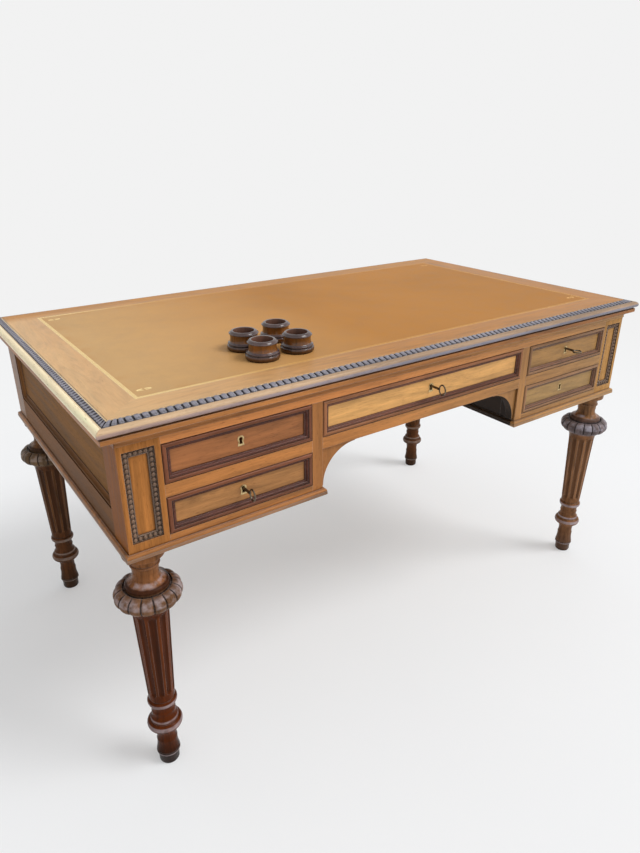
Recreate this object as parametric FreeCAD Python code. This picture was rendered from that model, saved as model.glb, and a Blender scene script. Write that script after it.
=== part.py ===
import FreeCAD, Part
import math
import os

# A flat-topped writing desk in walnut. A leather-lined top lies on a carcass of two drawer
# pedestals joined over a kneehole, and the whole stands on four turned and fluted legs.
# The origin is on the floor under the middle of the desk. X runs to the sitter's right,
# Y runs away from the sitter and Z runs up. All lengths are in millimetres.

Vector = FreeCAD.Vector
ORIGIN = Vector(0, 0, 0)
ACROSS = Vector(1, 0, 0)
UP = Vector(0, 0, 1)
quarter_turn = 90
full_turn = 360
overrun = 1

# Whole desk
desk_width = 1418
desk_depth = 796
desk_height = 770
end_overhang = 30
front_overhang = 20

# Top
top_thickness = 31
edging_width = 28
band_width = 17
band_height = 6
leather_margin_end = 94
leather_margin_front = 85
leather_thickness = 2

# Carcass, from the top downwards
frieze_height = 28
upper_drawer_height = 74.5
divider_height = 24.5
lower_drawer_height = 72
floor_thickness = 13
base_thickness = 13
base_projection = 7
bed_height = 14
bed_projection = 5

# Carcass, in plan
post_width = 74
post_depth = 65
side_drawer_width = 296
inner_stile_width = 24
front_frame_depth = 45
back_frame_depth = 22
side_frame_depth = 22
side_top_rail = 37
side_bottom_rail = 56

# Recessed panels of the sides and the back
panel_thickness = 8
panel_recess = 9
panel_moulding_width = 12
panel_moulding_height = 7

# Beaded panels of the front corner posts
corner_margin_outer = 9
corner_margin_inner = 10.5
corner_margin_top = 27
corner_margin_bottom = 16.5
corner_panel_depth = 6
bead_width = 12
bead_height = 5

# Arched brackets in the corners of the kneehole
bracket_foot_gap = 3
bracket_step = 4.5
bracket_setback = 5
bracket_thickness = 20

# Drawers
drawer_gap = 1
drawer_front_thickness = 20
field_recess = 6
drawer_moulding_width = 15
drawer_moulding_proud = 3
drawer_side_thickness = 10
drawer_side_drop = 5
drawer_bottom_thickness = 5
drawer_bottom_lift = 6
drawer_back_space = 90
runner_width = 25
runner_height = 20

# Locks
keyhole_rise = 4.5
escutcheon_radius = 6.5
escutcheon_drop = 13
escutcheon_skirt = 13
escutcheon_thickness = 2
escutcheon_proud = 0.4
keyhole_radius = 3.6
keyhole_drop = 9.5
keyhole_skirt = 6.2
lock_width = 46
lock_depth = 9
lock_drop = 12
lock_wall = 1.2
lock_gap = 0.3
bolt_width = 20
bolt_length = 14
bolt_throw = 8
mortise_gap = 1

# Keys
key_shank_radius = 2.6
key_shank_reach = 25
key_bow_height = 25
key_bow_length = 20
key_bow_thickness = 3.4
key_bit_reach = 8
key_bit_thickness = 2.2

# Legs
leg_radius = 62
tenon_radius = 14
tenon_length = 32
tenon_gap = 0.2
flute_count = 10
flute_radius = 7
flute_depth = 3.2
gadroon_count = 16
gadroon_groove_width = 1.8

# Loose cups that raise the legs, kept on the top
riser_radius = 33.5
riser_height = 38
riser_recess = 20
riser_gap = 0.4
riser_apart = 15
riser_from_end = 416
riser_from_front = 195

# Outlines as shares of a width and a height. The third figure bends the line to the next
# point into an arc, and is the arc's rise to the right as a share of its chord.
quarter_arc_share = (math.sqrt(2) - 1) / 2
lip_share = 1 - band_width / edging_width
band_seat_share = 0.774
edging_shares = (
    (0.18, 0, 0), (1, 0, 0), (1, band_seat_share, 0), (lip_share, band_seat_share, 0),
    (lip_share, 0.855, 0), (lip_share * 0.73, 0.855, 0.2), (0, 0.58, 0.12), (0.125, 0.41, 0),
    (0.286, 0.39, 0), (0.286, 0.32, 0), (0.18, 0.27, 0),
)
band_shares = ((0, 0, 0), (1, 0, 0), (1, 1, 0.05), (0, 0.35, 0))
bed_shares = ((0.7, 0, 0), (1, 0, 0), (1, 1, 0), (0, 1, 0), (0, 0.75, -0.18), (0.7, 0.15, 0))
base_shares = (
    (0, 0, 0), (1, 0, 0), (1, 1, 0), (0.7, 1, 0), (0.7, 0.92, 0), (0.55, 0.92, 0.22),
    (0.1, 0.52, 0), (0.1, 0.46, 0), (0, 0.46, 0),
)
drawer_moulding_shares = (
    (0, 0, 0), (1, 0, 0), (1, 0.16, -0.15), (0.8, 0.6, 0), (0.6, 0.6, 0), (0.55, 0.95, 0.22),
    (0, 0.62, 0),
)
panel_moulding_shares = (
    (0, 0, 0), (1, 0, 0), (1, 0.2, -0.2), (0.4, 0.75, 0), (0.3, 1, 0), (0, 1, 0),
)
bead_shares = (
    (0, 0, 0), (1, 0, 0), (1, 0.36, 0), (0.8, 0.36, 0), (0.76, 0.3, 0.42), (0.06, 0.3, 0),
    (0, 0.3, 0),
)
# A keyhole in shares of its head radius, above the two corners of its skirt.
keyhole_neck_shares = ((0.7, -0.714, 1.224), (-0.7, -0.714, 0))

# Turned outlines from the floor up, as shares of a radius and a height.
foot_share = 0.33
shaft_start_share = (0.408, 0.339)
shaft_end_share = (0.532, 0.724)
gadroon_start_share = (0.693, 0.778)
gadroon_end_share = (0.742, 0.844)
groove_start_share = (0.718, 0.782)
groove_end_share = (0.726, 0.84)
gadroon_bulge_share = 0.5
flute_end_shares = (0.08, 0.92)
leg_shares = (
    (0, 0, 0), (0.298, 0, 0), (0.322, 0.006, 0), (foot_share, 0.043, 0), (0.344, 0.046, 0.4),
    (0.344, 0.056, 0), (0.368, 0.061, -0.04), (0.327, 0.117, -0.1), (0.387, 0.18, 0.433),
    (0.435, 0.22, 0), (0.435, 0.232, 0), (0.411, 0.235, -0.12), (0.377, 0.265, -0.1),
    (0.387, 0.297, 0.3), (0.387, 0.328, 0), (0.411, 0.333, 0), (*shaft_start_share, 0),
    (*shaft_end_share, 0), (0.556, 0.746, 0), (0.597, 0.761, 0),
    (*gadroon_start_share, gadroon_bulge_share), (*gadroon_end_share, 0), (0.71, 0.844, 0),
    (0.702, 0.837, 0), (0.645, 0.837, 0), (0.637, 0.85, 0.2), (0.565, 0.862, 0),
    (0.558, 0.863, -0.2), (0.384, 0.907, 0), (0.384, 0.922, 0), (0.395, 0.928, 0.45),
    (0.395, 0.939, 0), (0.4, 0.942, -0.2), (0.605, 0.972, 0), (0.613, 0.977, 0), (0.613, 1, 0),
    (0, 1, 0),
)
riser_shares = (
    (0, 0, 0), (0.96, 0, 0), (1, 0.06, 0), (1, 0.24, 0), (0.98, 0.26, 0), (0.92, 0.28, 0),
    (0.92, 0.3, 0.3), (0.92, 0.4, 0), (0.87, 0.43, 0), (0.84, 0.46, -0.06), (0.84, 0.83, 0),
    (0.88, 0.85, 0), (0.88, 0.9, 0.05), (0.74, 1, 0), (0, 1, 0),
)
riser_place_shares = ((-0.51, -0.55), (0.49, -0.5), (0.55, 0.58), (-0.5, 0.36))

# Places that follow from the sizes
half_width = desk_width / 2 - end_overhang
half_depth = desk_depth / 2 - front_overhang
top_under = desk_height - top_thickness
frieze_under = top_under - frieze_height
divider_top = frieze_under - upper_drawer_height
divider_under = divider_top - divider_height
floor_top = divider_under - lower_drawer_height
carcass_under = floor_top - floor_thickness
leg_height = carcass_under - base_thickness

post_inner = half_width - post_width
stile_outer = post_inner - side_drawer_width
kneehole_half = stile_outer - inner_stile_width
post_back = half_depth - post_depth
frame_back = front_frame_depth - half_depth
back_frame_front = half_depth - back_frame_depth
panel_field = half_depth - panel_recess
back_panel_front = panel_field - panel_thickness
field_plane = field_recess - half_depth
drawer_front_back = field_plane + drawer_front_thickness
drawer_end = back_panel_front - drawer_back_space
lock_back = drawer_front_back + lock_depth
bolt_front = drawer_front_back + lock_wall + lock_gap
bolt_back = lock_back - lock_wall - lock_gap
leg_inset = (post_width + post_depth) / 4
leg_x = half_width - leg_inset
leg_y = half_depth - leg_inset
pedestal_x = (post_inner + stile_outer) / 2
foot_radius = foot_share * leg_radius
bracket_reach = divider_under - carcass_under - bracket_foot_gap

# Each drawer: the middle of its opening, the opening's width, bottom and top.
drawers = {
    "upper_left": (-pedestal_x, side_drawer_width, divider_top, frieze_under),
    "lower_left": (-pedestal_x, side_drawer_width, floor_top, divider_under),
    "centre": (0, kneehole_half * 2, divider_top, frieze_under),
    "upper_right": (pedestal_x, side_drawer_width, divider_top, frieze_under),
    "lower_right": (pedestal_x, side_drawer_width, floor_top, divider_under),
}
# Drawers with a key in the lock, and how far the key is turned round.
keys = {"lower_left": 0, "centre": 0, "upper_right": quarter_turn}


def keyhole_height(name):
    """Height of a drawer's keyhole, a little above the middle of its opening."""
    _, _, bottom, top = drawers[name]
    return (bottom + top) / 2 + keyhole_rise


# Shapes that many pieces share
def block(x0, x1, y0, y1, z0, z1):
    """A board between two corners."""
    return Part.makeBox(x1 - x0, y1 - y0, z1 - z0, Vector(x0, y0, z0))


def mirrored(shape):
    """The same piece on the other end of the desk."""
    return shape.mirror(ORIGIN, ACROSS)


def both_ends(shapes):
    """Pieces of the right end, with their twins of the left end."""
    return shapes + [mirrored(shape) for shape in shapes]


def scaled(shares, width, height):
    """An outline in millimetres."""
    return [(a * width, b * height, bulge) for a, b, bulge in shares]


def outline(points, place):
    """The face inside a closed outline, which place puts into space."""
    edges = []
    for (a, b, bulge), (c, d, _) in zip(points, points[1:] + points[:1]):
        if bulge:
            middle = place((a + c) / 2 + bulge * (d - b), (b + d) / 2 - bulge * (c - a))
            edges.append(Part.Arc(place(a, b), middle, place(c, d)).toShape())
        else:
            edges.append(Part.makeLine(place(a, b), place(c, d)))
    return Part.Face(Part.Wire(edges))


def turned(shares, radius, height):
    """A piece turned on the lathe about the vertical axis."""
    points = scaled(shares, radius, height)
    return outline(points, lambda r, z: Vector(r, 0, z)).revolve(ORIGIN, UP, full_turn)


def mitred_frame(length, breadth, width, height, shares):
    """Four strips of one section round a rectangle, lying flat and mitred at the corners."""
    section = scaled(shares, width, height)
    strips = []
    for turn in range(4):
        run, across = (length, breadth) if turn % 2 == 0 else (breadth, length)
        edge = -across / 2
        strip = outline(section, lambda u, w: Vector(-run / 2, edge + u, w))
        strip = strip.extrude(Vector(run, 0, 0))
        for end in (-1, 1):
            outer = end * (run / 2 + overrun)
            inner = end * (run / 2 - width - overrun)
            corners = [
                Vector(outer, edge - overrun, -overrun),
                Vector(outer, edge + width + overrun, -overrun),
                Vector(inner, edge + width + overrun, -overrun),
            ]
            waste = Part.Face(Part.makePolygon(corners + corners[:1]))
            strip = strip.cut(waste.extrude(UP * (height + overrun * 2)))
        strip.rotate(ORIGIN, UP, quarter_turn * turn)
        strips.append(strip)
    return strips


def on_wall(shapes, turn, place):
    """Pieces made lying flat, stood up to face the front, turned on about the vertical and placed."""
    for shape in shapes:
        shape.rotate(ORIGIN, ACROSS, quarter_turn)
        shape.rotate(ORIGIN, UP, turn)
        shape.translate(place)
    return shapes


def save(node, shapes):
    """One file for each named piece, or for a group of like pieces."""
    shape = shapes[0] if len(shapes) == 1 else Part.makeCompound(shapes)
    shape.exportStep(f"parts/{node}.step")


# Top
def leather_block(bottom, top):
    """The space of the leather between two heights."""
    x = desk_width / 2 - leather_margin_end
    y = desk_depth / 2 - leather_margin_front
    return block(-x, x, -y, y, bottom, top)


def top_board():
    x = desk_width / 2 - edging_width
    y = desk_depth / 2 - edging_width
    board = block(-x, x, -y, y, top_under, desk_height)
    return [board.cut(leather_block(desk_height - leather_thickness, desk_height + overrun))]


def leather_top():
    return [leather_block(desk_height - leather_thickness, desk_height)]


def raised(strips, height):
    """Strips made on the floor, lifted to their height."""
    for strip in strips:
        strip.translate(UP * height)
    return strips


def top_edging():
    strips = mitred_frame(desk_width, desk_depth, edging_width, top_thickness, edging_shares)
    return raised(strips, top_under)


def carved_band():
    """The ornament's strip, in the rebate between the edging's lip and the board."""
    inset = (edging_width - band_width) * 2
    seat = top_under + band_seat_share * top_thickness
    strips = mitred_frame(desk_width - inset, desk_depth - inset, band_width, band_height, band_shares)
    return raised(strips, seat)


def bed_moulding():
    length = (half_width + bed_projection) * 2
    breadth = (half_depth + bed_projection) * 2
    strips = mitred_frame(length, breadth, bed_projection, bed_height, bed_shares)
    return raised(strips, top_under - bed_height)


# Carcass
def tenon_hole(x, y):
    """The hole of a leg's tenon, through the base and up into the post."""
    place = Vector(x, y, leg_height - overrun)
    return Part.makeCylinder(tenon_radius + tenon_gap, tenon_length + overrun * 2, place, UP)


def corner_panel():
    """The recess of the right front post: its left, right, bottom and top."""
    return (
        post_inner + corner_margin_inner,
        half_width - corner_margin_outer,
        carcass_under + corner_margin_bottom,
        top_under - corner_margin_top,
    )


def back_post():
    """The right back corner post."""
    post = block(post_inner, half_width, post_back, half_depth, carcass_under, top_under)
    return post.cut(tenon_hole(leg_x, leg_y))


def front_post():
    """The right front corner post, with its recessed panel."""
    post = block(post_inner, half_width, -half_depth, -post_back, carcass_under, top_under)
    x0, x1, z0, z1 = corner_panel()
    pocket = block(x0, x1, -half_depth - overrun, corner_panel_depth - half_depth, z0, z1)
    return post.cut([pocket, tenon_hole(leg_x, -leg_y)])


def corner_beads():
    """The pearl beading's strips round the recessed panels of the front posts."""
    x0, x1, z0, z1 = corner_panel()
    strips = mitred_frame(x1 - x0, z1 - z0, bead_width, bead_height, bead_shares)
    place = Vector((x0 + x1) / 2, corner_panel_depth - half_depth, (z0 + z1) / 2)
    return both_ends(on_wall(strips, 0, place))


def mortise(name):
    """The slot above a drawer that its bolt rises into."""
    x, _, _, top = drawers[name]
    half = bolt_width / 2 + mortise_gap
    return block(
        x - half, x + half, bolt_front - mortise_gap, bolt_back + mortise_gap,
        top - overrun, top + bolt_throw + mortise_gap,
    )


def front_bar(x0, x1, z0, z1):
    """A rail or stile of the front frame."""
    return block(x0, x1, -half_depth, frame_back, z0, z1)


def back_bar(x0, x1, z0, z1):
    """A rail or stile of the back frame."""
    return block(x0, x1, back_frame_front, half_depth, z0, z1)


def frieze_rail():
    rail = front_bar(-post_inner, post_inner, frieze_under, top_under)
    return [rail.cut([mortise(name) for name in ("upper_left", "centre", "upper_right")])]


def knee_rail():
    return [front_bar(-kneehole_half, kneehole_half, divider_under, divider_top)]


def drawer_dividers():
    rail = front_bar(stile_outer, post_inner, divider_under, divider_top)
    return both_ends([rail.cut(mortise("lower_right"))])


def inner_stiles():
    return both_ends([front_bar(kneehole_half, stile_outer, carcass_under, frieze_under)])


def knee_brackets():
    """Quarter arches under the ends of the knee rail, with a small step at each end."""
    corner = Vector(kneehole_half, bracket_setback - half_depth, divider_under)
    points = [
        (0, 0, 0),
        (-bracket_reach, 0, 0),
        (-bracket_reach, -bracket_step, -quarter_arc_share),
        (-bracket_step, -bracket_reach, 0),
        (0, -bracket_reach, 0),
    ]
    face = outline(points, lambda x, z: corner + Vector(x, 0, z))
    return both_ends([face.extrude(Vector(0, bracket_thickness, 0))])


def kneehole_sides():
    side = block(kneehole_half, stile_outer, frame_back, back_frame_front, carcass_under, top_under)
    return both_ends([side])


def drawer_runners():
    """Strips that carry the sides of the upper drawers."""
    runners = [
        (post_inner - runner_width, post_inner, back_panel_front),
        (stile_outer, stile_outer + runner_width, back_panel_front),
        (kneehole_half - runner_width, kneehole_half, back_frame_front),
    ]
    bottom = divider_top - runner_height
    return both_ends([block(x0, x1, frame_back, end, bottom, divider_top) for x0, x1, end in runners])


def pedestal_boards():
    """The floor of each pedestal, and the base under it that the legs are let into."""
    floor = block(stile_outer, post_inner, -half_depth, half_depth, carcass_under, floor_top)
    base = block(kneehole_half, half_width, -half_depth, half_depth, leg_height, carcass_under)
    base = base.cut([tenon_hole(leg_x, leg_y), tenon_hole(leg_x, -leg_y)])
    return both_ends([floor, base])


def base_mouldings():
    """The moulding round the foot of each pedestal."""
    length = half_width - kneehole_half + base_projection * 2
    breadth = (half_depth + base_projection) * 2
    strips = mitred_frame(length, breadth, base_projection, base_thickness, base_shares)
    for strip in strips:
        strip.translate(Vector((half_width + kneehole_half) / 2, 0, leg_height))
    return both_ends(strips)


def side_rails():
    inner = half_width - side_frame_depth
    upper = top_under - side_top_rail
    lower = carcass_under + side_bottom_rail
    return both_ends([
        block(inner, half_width, -post_back, post_back, upper, top_under),
        block(inner, half_width, -post_back, post_back, carcass_under, lower),
    ])


def framed_panel(width, height):
    """A flat panel with a moulding round its field, lying with the field at the level of the floor."""
    panel = block(-width / 2, width / 2, -height / 2, height / 2, -panel_thickness, 0)
    strips = mitred_frame(
        width, height, panel_moulding_width, panel_moulding_height, panel_moulding_shares
    )
    return [panel] + strips


def side_panels():
    lower = carcass_under + side_bottom_rail
    upper = top_under - side_top_rail
    place = Vector(half_width - panel_recess, 0, (lower + upper) / 2)
    return both_ends(on_wall(framed_panel(post_back * 2, upper - lower), quarter_turn, place))


def back_frame():
    stile = back_bar(kneehole_half, stile_outer, carcass_under, frieze_under)
    return both_ends([stile]) + [
        back_bar(-post_inner, post_inner, frieze_under, top_under),
        back_bar(-kneehole_half, kneehole_half, divider_under, divider_top),
    ]


def back_panels():
    side = framed_panel(side_drawer_width, frieze_under - floor_top)
    place = Vector(pedestal_x, panel_field, (floor_top + frieze_under) / 2)
    side = on_wall(side, quarter_turn * 2, place)
    middle = framed_panel(kneehole_half * 2, frieze_under - divider_top)
    place = Vector(0, panel_field, (divider_top + frieze_under) / 2)
    return both_ends(side) + on_wall(middle, quarter_turn * 2, place)


# Drawers and locks
def keyhole_block(name, radius, drop, skirt, y0, y1):
    """A keyhole-shaped block about a drawer's key axis, from one depth to another."""
    x = drawers[name][0]
    z = keyhole_height(name)
    corners = [(-skirt / 2, -drop, 0), (skirt / 2, -drop, 0)]
    points = corners + scaled(keyhole_neck_shares, radius, radius)
    face = outline(points, lambda a, b: Vector(x + a, y0, z + b))
    return face.extrude(Vector(0, y1 - y0, 0))


def keyhole(name):
    """The hole through a drawer's front and its escutcheon."""
    start = -half_depth - overrun
    return keyhole_block(name, keyhole_radius, keyhole_drop, keyhole_skirt, start, drawer_front_back)


def escutcheon_block(name, front):
    """The escutcheon's shape, from a depth in front to its back in the drawer's front."""
    back = field_plane - escutcheon_proud + escutcheon_thickness
    return keyhole_block(name, escutcheon_radius, escutcheon_drop, escutcheon_skirt, front, back)


def drawer_sides(name):
    """The left and right of a drawer's front and box."""
    x, width, _, _ = drawers[name]
    return x - width / 2 + drawer_gap, x + width / 2 - drawer_gap


def drawer_front(name):
    _, _, bottom, top = drawers[name]
    x0, x1 = drawer_sides(name)
    board = block(x0, x1, field_plane, drawer_front_back, bottom + drawer_gap, top - drawer_gap)
    return [board.cut([keyhole(name), escutcheon_block(name, -half_depth)])]


def drawer_moulding(name):
    x, width, bottom, top = drawers[name]
    strips = mitred_frame(
        width - drawer_gap * 2, top - bottom - drawer_gap * 2, drawer_moulding_width,
        field_recess + drawer_moulding_proud, drawer_moulding_shares,
    )
    return on_wall(strips, 0, Vector(x, field_plane, (bottom + top) / 2))


def drawer_box(name):
    """Two sides, the bottom and the back behind a drawer's front."""
    _, _, bottom, top = drawers[name]
    x0, x1 = drawer_sides(name)
    inner0 = x0 + drawer_side_thickness
    inner1 = x1 - drawer_side_thickness
    rim = top - drawer_side_drop
    bottom_under = bottom + drawer_bottom_lift
    bottom_top = bottom_under + drawer_bottom_thickness
    back_front = drawer_end - drawer_side_thickness
    return [
        block(x0, inner0, drawer_front_back, drawer_end, bottom, rim),
        block(inner1, x1, drawer_front_back, drawer_end, bottom, rim),
        block(inner0, inner1, drawer_front_back, drawer_end, bottom_under, bottom_top),
        block(inner0, inner1, back_front, drawer_end, bottom_top, rim - drawer_side_drop),
    ]


def lock(name):
    """The escutcheon, and the lock's case with its room for the bolt and for the key's bit."""
    x, _, _, top = drawers[name]
    z = keyhole_height(name)
    top = top - drawer_gap
    escutcheon = escutcheon_block(name, field_plane - escutcheon_proud).cut(keyhole(name))
    case = block(
        x - lock_width / 2, x + lock_width / 2, drawer_front_back, lock_back, z - lock_drop, top
    )
    inside0 = drawer_front_back + lock_wall
    inside1 = lock_back - lock_wall
    half = bolt_width / 2 + lock_gap
    channel = block(x - half, x + half, inside0, inside1, top - bolt_length, top + overrun)
    forwards = Vector(0, 1, 0)
    room = Part.makeCylinder(
        key_bit_reach + lock_gap, inside1 - inside0, Vector(x, inside0, z), forwards
    )
    mouth = Vector(x, drawer_front_back - overrun, z)
    bore = Part.makeCylinder(key_shank_radius + lock_gap, lock_wall + overrun * 2, mouth, forwards)
    half = key_bit_thickness / 2 + lock_gap
    slot = block(
        x - half, x + half, drawer_front_back - overrun, inside0 + overrun,
        z - key_bit_reach - lock_gap, z,
    )
    return [escutcheon, case.cut([channel, room, bore, slot])]


def bolt(name):
    x, _, _, top = drawers[name]
    top = top - drawer_gap
    half = bolt_width / 2
    return [block(x - half, x + half, bolt_front, bolt_back, top - bolt_length, top)]


def key(name):
    """A key in its lock: a ring bow, a round shank and a flat bit."""
    x = drawers[name][0]
    z = keyhole_height(name)
    shank_end = field_plane - key_shank_reach
    shank = Part.makeCylinder(key_shank_radius, bolt_back - shank_end, Vector(0, shank_end, 0),
                              Vector(0, 1, 0))
    ring = Part.makeTorus((key_bow_height - key_bow_thickness) / 2, key_bow_thickness / 2)
    ring.rotate(ORIGIN, Vector(0, 1, 0), quarter_turn)
    squeeze = FreeCAD.Matrix()
    squeeze.scale(1, key_bow_length / key_bow_height, 1)
    ring = ring.transformGeometry(squeeze)
    ring.translate(Vector(0, shank_end - key_bow_length / 2 + key_bow_thickness / 2, 0))
    half = key_bit_thickness / 2
    bit = block(-half, half, bolt_front, bolt_back, -key_bit_reach, 0)
    whole = shank.fuse([ring, bit]).removeSplitter()
    whole.rotate(ORIGIN, Vector(0, 1, 0), keys[name])
    whole.translate(Vector(x, 0, z))
    return whole.Solids


# Legs and risers
def capsule(radius, length):
    """A round bar along the vertical axis with round ends beyond its length."""
    points = [
        (0, -radius, quarter_arc_share), (radius, 0, 0), (radius, length, quarter_arc_share),
        (0, length + radius, 0),
    ]
    return outline(points, lambda r, z: Vector(r, 0, z)).revolve(ORIGIN, UP, full_turn)


def flute():
    """The cutter of one flute, lying along the tapered shaft."""
    (r0, z0), (r1, z1) = [
        (a * leg_radius, b * leg_height) for a, b in (shaft_start_share, shaft_end_share)
    ]
    lower, upper = flute_end_shares
    start = Vector(r0 + (r1 - r0) * lower, 0, z0 + (z1 - z0) * lower)
    end = Vector(r0 + (r1 - r0) * upper, 0, z0 + (z1 - z0) * upper)
    run = end - start
    cutter = capsule(flute_radius, run.Length)
    cutter.rotate(ORIGIN, Vector(0, 1, 0), math.degrees(math.atan2(run.x, run.z)))
    cutter.translate(start + ACROSS * (flute_radius - flute_depth))
    return cutter


def gadroon_groove():
    """The cutter of one groove between the lobes of the carved ring."""
    (r0, z0), (r1, z1) = [
        (a * leg_radius, b * leg_height) for a, b in (groove_start_share, groove_end_share)
    ]
    far = leg_radius + overrun
    under = gadroon_start_share[1] * leg_height - overrun
    over = gadroon_end_share[1] * leg_height + overrun
    points = [
        (r0, z0, gadroon_bulge_share), (r1, z1, 0), (r1, over, 0), (far, over, 0), (far, under, 0),
        (r0, under, 0),
    ]
    face = outline(points, lambda r, z: Vector(r, -gadroon_groove_width / 2, z))
    return face.extrude(Vector(0, gadroon_groove_width, 0))


def ring_of(cutter, count):
    """Copies of a cutter all round the vertical axis."""
    copies = [cutter.copy() for _ in range(count)]
    for index, copy in enumerate(copies):
        copy.rotate(ORIGIN, UP, full_turn * index / count)
    return copies


def leg():
    """One turned leg with its tenon, about the vertical axis."""
    body = turned(leg_shares, leg_radius, leg_height)
    tenon = Part.makeCylinder(tenon_radius, tenon_length, UP * leg_height, UP)
    body = body.fuse(tenon)
    return body.cut(ring_of(flute(), flute_count) + ring_of(gadroon_groove(), gadroon_count))


def riser():
    """One turned cup, with the recess that takes a foot, about the vertical axis."""
    body = turned(riser_shares, riser_radius, riser_height)
    floor = UP * (riser_height - riser_recess)
    return body.cut(Part.makeCylinder(foot_radius + riser_gap, riser_recess + overrun, floor, UP))


def riser_places():
    """Where the cups stand on the leather, in a loose group."""
    spacing = riser_radius * 2 + riser_apart
    middle = Vector(riser_from_end - desk_width / 2, riser_from_front - desk_depth / 2, desk_height)
    return [middle + Vector(a, b, 0) * spacing for a, b in riser_place_shares]


def placed(shape, place):
    """A copy of a piece at a place."""
    copy = shape.copy()
    copy.translate(place)
    return copy


def build():
    os.makedirs("parts", exist_ok=True)
    single = (
        top_board, leather_top, top_edging, carved_band, bed_moulding, corner_beads, frieze_rail,
        knee_rail, drawer_dividers, inner_stiles, knee_brackets, kneehole_sides, drawer_runners,
        pedestal_boards, base_mouldings, side_rails, side_panels, back_frame, back_panels,
    )
    for make in single:
        save(make.__name__, make())
    for make in (front_post, back_post):
        save(f"{make.__name__}_right", [make()])
        save(f"{make.__name__}_left", [mirrored(make())])
    for make in (drawer_front, drawer_moulding, drawer_box, lock, bolt):
        for name in drawers:
            save(f"{make.__name__}_{name}", make(name))
    for name in keys:
        save(f"key_{name}", key(name))
    one_leg = leg()
    for depth, y in (("front", -leg_y), ("back", leg_y)):
        for side, x in (("left", -leg_x), ("right", leg_x)):
            save(f"leg_{depth}_{side}", [placed(one_leg, Vector(x, y, 0))])
    one_riser = riser()
    for number, place in enumerate(riser_places(), 1):
        save(f"riser_{number}", [placed(one_riser, place)])


build()
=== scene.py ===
import math
import bmesh
import bpy
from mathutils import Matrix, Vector


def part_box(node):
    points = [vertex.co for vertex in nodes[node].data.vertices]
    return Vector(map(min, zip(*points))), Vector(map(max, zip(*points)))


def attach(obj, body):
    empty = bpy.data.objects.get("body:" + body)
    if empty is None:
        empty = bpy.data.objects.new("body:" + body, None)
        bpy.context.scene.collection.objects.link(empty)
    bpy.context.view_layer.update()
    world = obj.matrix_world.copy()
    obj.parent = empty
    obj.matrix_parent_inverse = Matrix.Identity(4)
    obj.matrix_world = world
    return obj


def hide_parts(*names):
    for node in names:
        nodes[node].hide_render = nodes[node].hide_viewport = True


# A walnut writing desk with a leather top. Lengths and places are in metres, in the part's own frame.
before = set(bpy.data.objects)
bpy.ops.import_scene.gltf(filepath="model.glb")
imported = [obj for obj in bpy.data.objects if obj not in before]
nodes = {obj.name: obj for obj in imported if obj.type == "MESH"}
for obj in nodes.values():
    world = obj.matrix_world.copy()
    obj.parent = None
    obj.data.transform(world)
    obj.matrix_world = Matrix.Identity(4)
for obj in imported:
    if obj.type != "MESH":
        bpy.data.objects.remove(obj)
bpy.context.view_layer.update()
scene = bpy.context.scene

DRAWERS = ("upper_left", "lower_left", "centre", "upper_right", "lower_right")
KEYS = ("lower_left", "centre", "upper_right")


# Shader helpers
def srgb(red, green, blue):
    """A colour given as it looks on screen, from 0 to 255, in the renderer's own scale."""
    def linear(value):
        value /= 255
        return value / 12.92 if value <= 0.04045 else ((value + 0.055) / 1.055) ** 2.4
    return (linear(red), linear(green), linear(blue), 1.0)


class Shader:
    """A node tree, of a new material unless one is given. add() makes a node, and a value that is a
    socket is linked."""

    def __init__(self, name, tree=None):
        self.material = None
        if tree is None:
            self.material = bpy.data.materials.new(name)
            self.material.use_nodes = True
            tree = self.material.node_tree
        self.tree = tree
        self.tree.nodes.clear()

    def add(self, kind, values=None, **settings):
        node = self.tree.nodes.new("ShaderNode" + kind)
        for key, value in settings.items():
            setattr(node, key, value)
        for key, value in (values or {}).items():
            socket = node.inputs[key]
            if isinstance(value, bpy.types.NodeSocket):
                self.tree.links.new(value, socket)
            else:
                socket.default_value = value
        return node

    def math(self, operation, a, b=0.0, c=0.0):
        return self.add("Math", {0: a, 1: b, 2: c}, operation=operation).outputs[0]

    def vector(self, operation, a, b):
        return self.add("VectorMath", {0: a, 1: b}, operation=operation).outputs[0]

    def mix(self, factor, a, b, blend="MIX"):
        node = self.add("Mix", {0: factor, 6: a, 7: b}, data_type="RGBA", blend_type=blend)
        return node.outputs[2]

    def either(self, factor, a, b):
        return self.add("Mix", {0: factor, 4: a, 5: b}, data_type="VECTOR").outputs[1]

    def noise(self, vector, scale, detail=3.0, rough=0.55, distortion=0.0):
        values = {"Vector": vector, "Scale": scale, "Detail": detail, "Roughness": rough,
                  "Distortion": distortion}
        return self.add("TexNoise", values).outputs["Fac"]

    def ramp(self, factor, stops):
        node = self.add("ValToRGB", {"Fac": factor})
        ramp = node.color_ramp
        while len(ramp.elements) < len(stops):
            ramp.elements.new(0.5)
        for element, (place, colour) in zip(ramp.elements, stops):
            element.position = place
            element.color = colour
        return node.outputs["Color"]

    def span(self, value, low, high, start=0.0, end=1.0):
        """Goes from start to end while the value goes from low to high, and stays there beyond."""
        values = {"Value": value, "From Min": low, "From Max": high, "To Min": start, "To Max": end}
        return self.add("MapRange", values, clamp=True).outputs[0]

    def place(self):
        """The shaded point in the part's frame, as a vector and as its three coordinates."""
        place = self.add("TexCoord").outputs["Object"]
        return place, self.add("SeparateXYZ", {0: place}).outputs

    def output(self, socket, kind="OutputMaterial"):
        self.tree.links.new(socket, self.add(kind).inputs["Surface"])

    def surface(self, **values):
        shader = self.add("BsdfPrincipled", {key.replace("_", " "): v for key, v in values.items()})
        self.output(shader.outputs[0])
        return self.material


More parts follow.
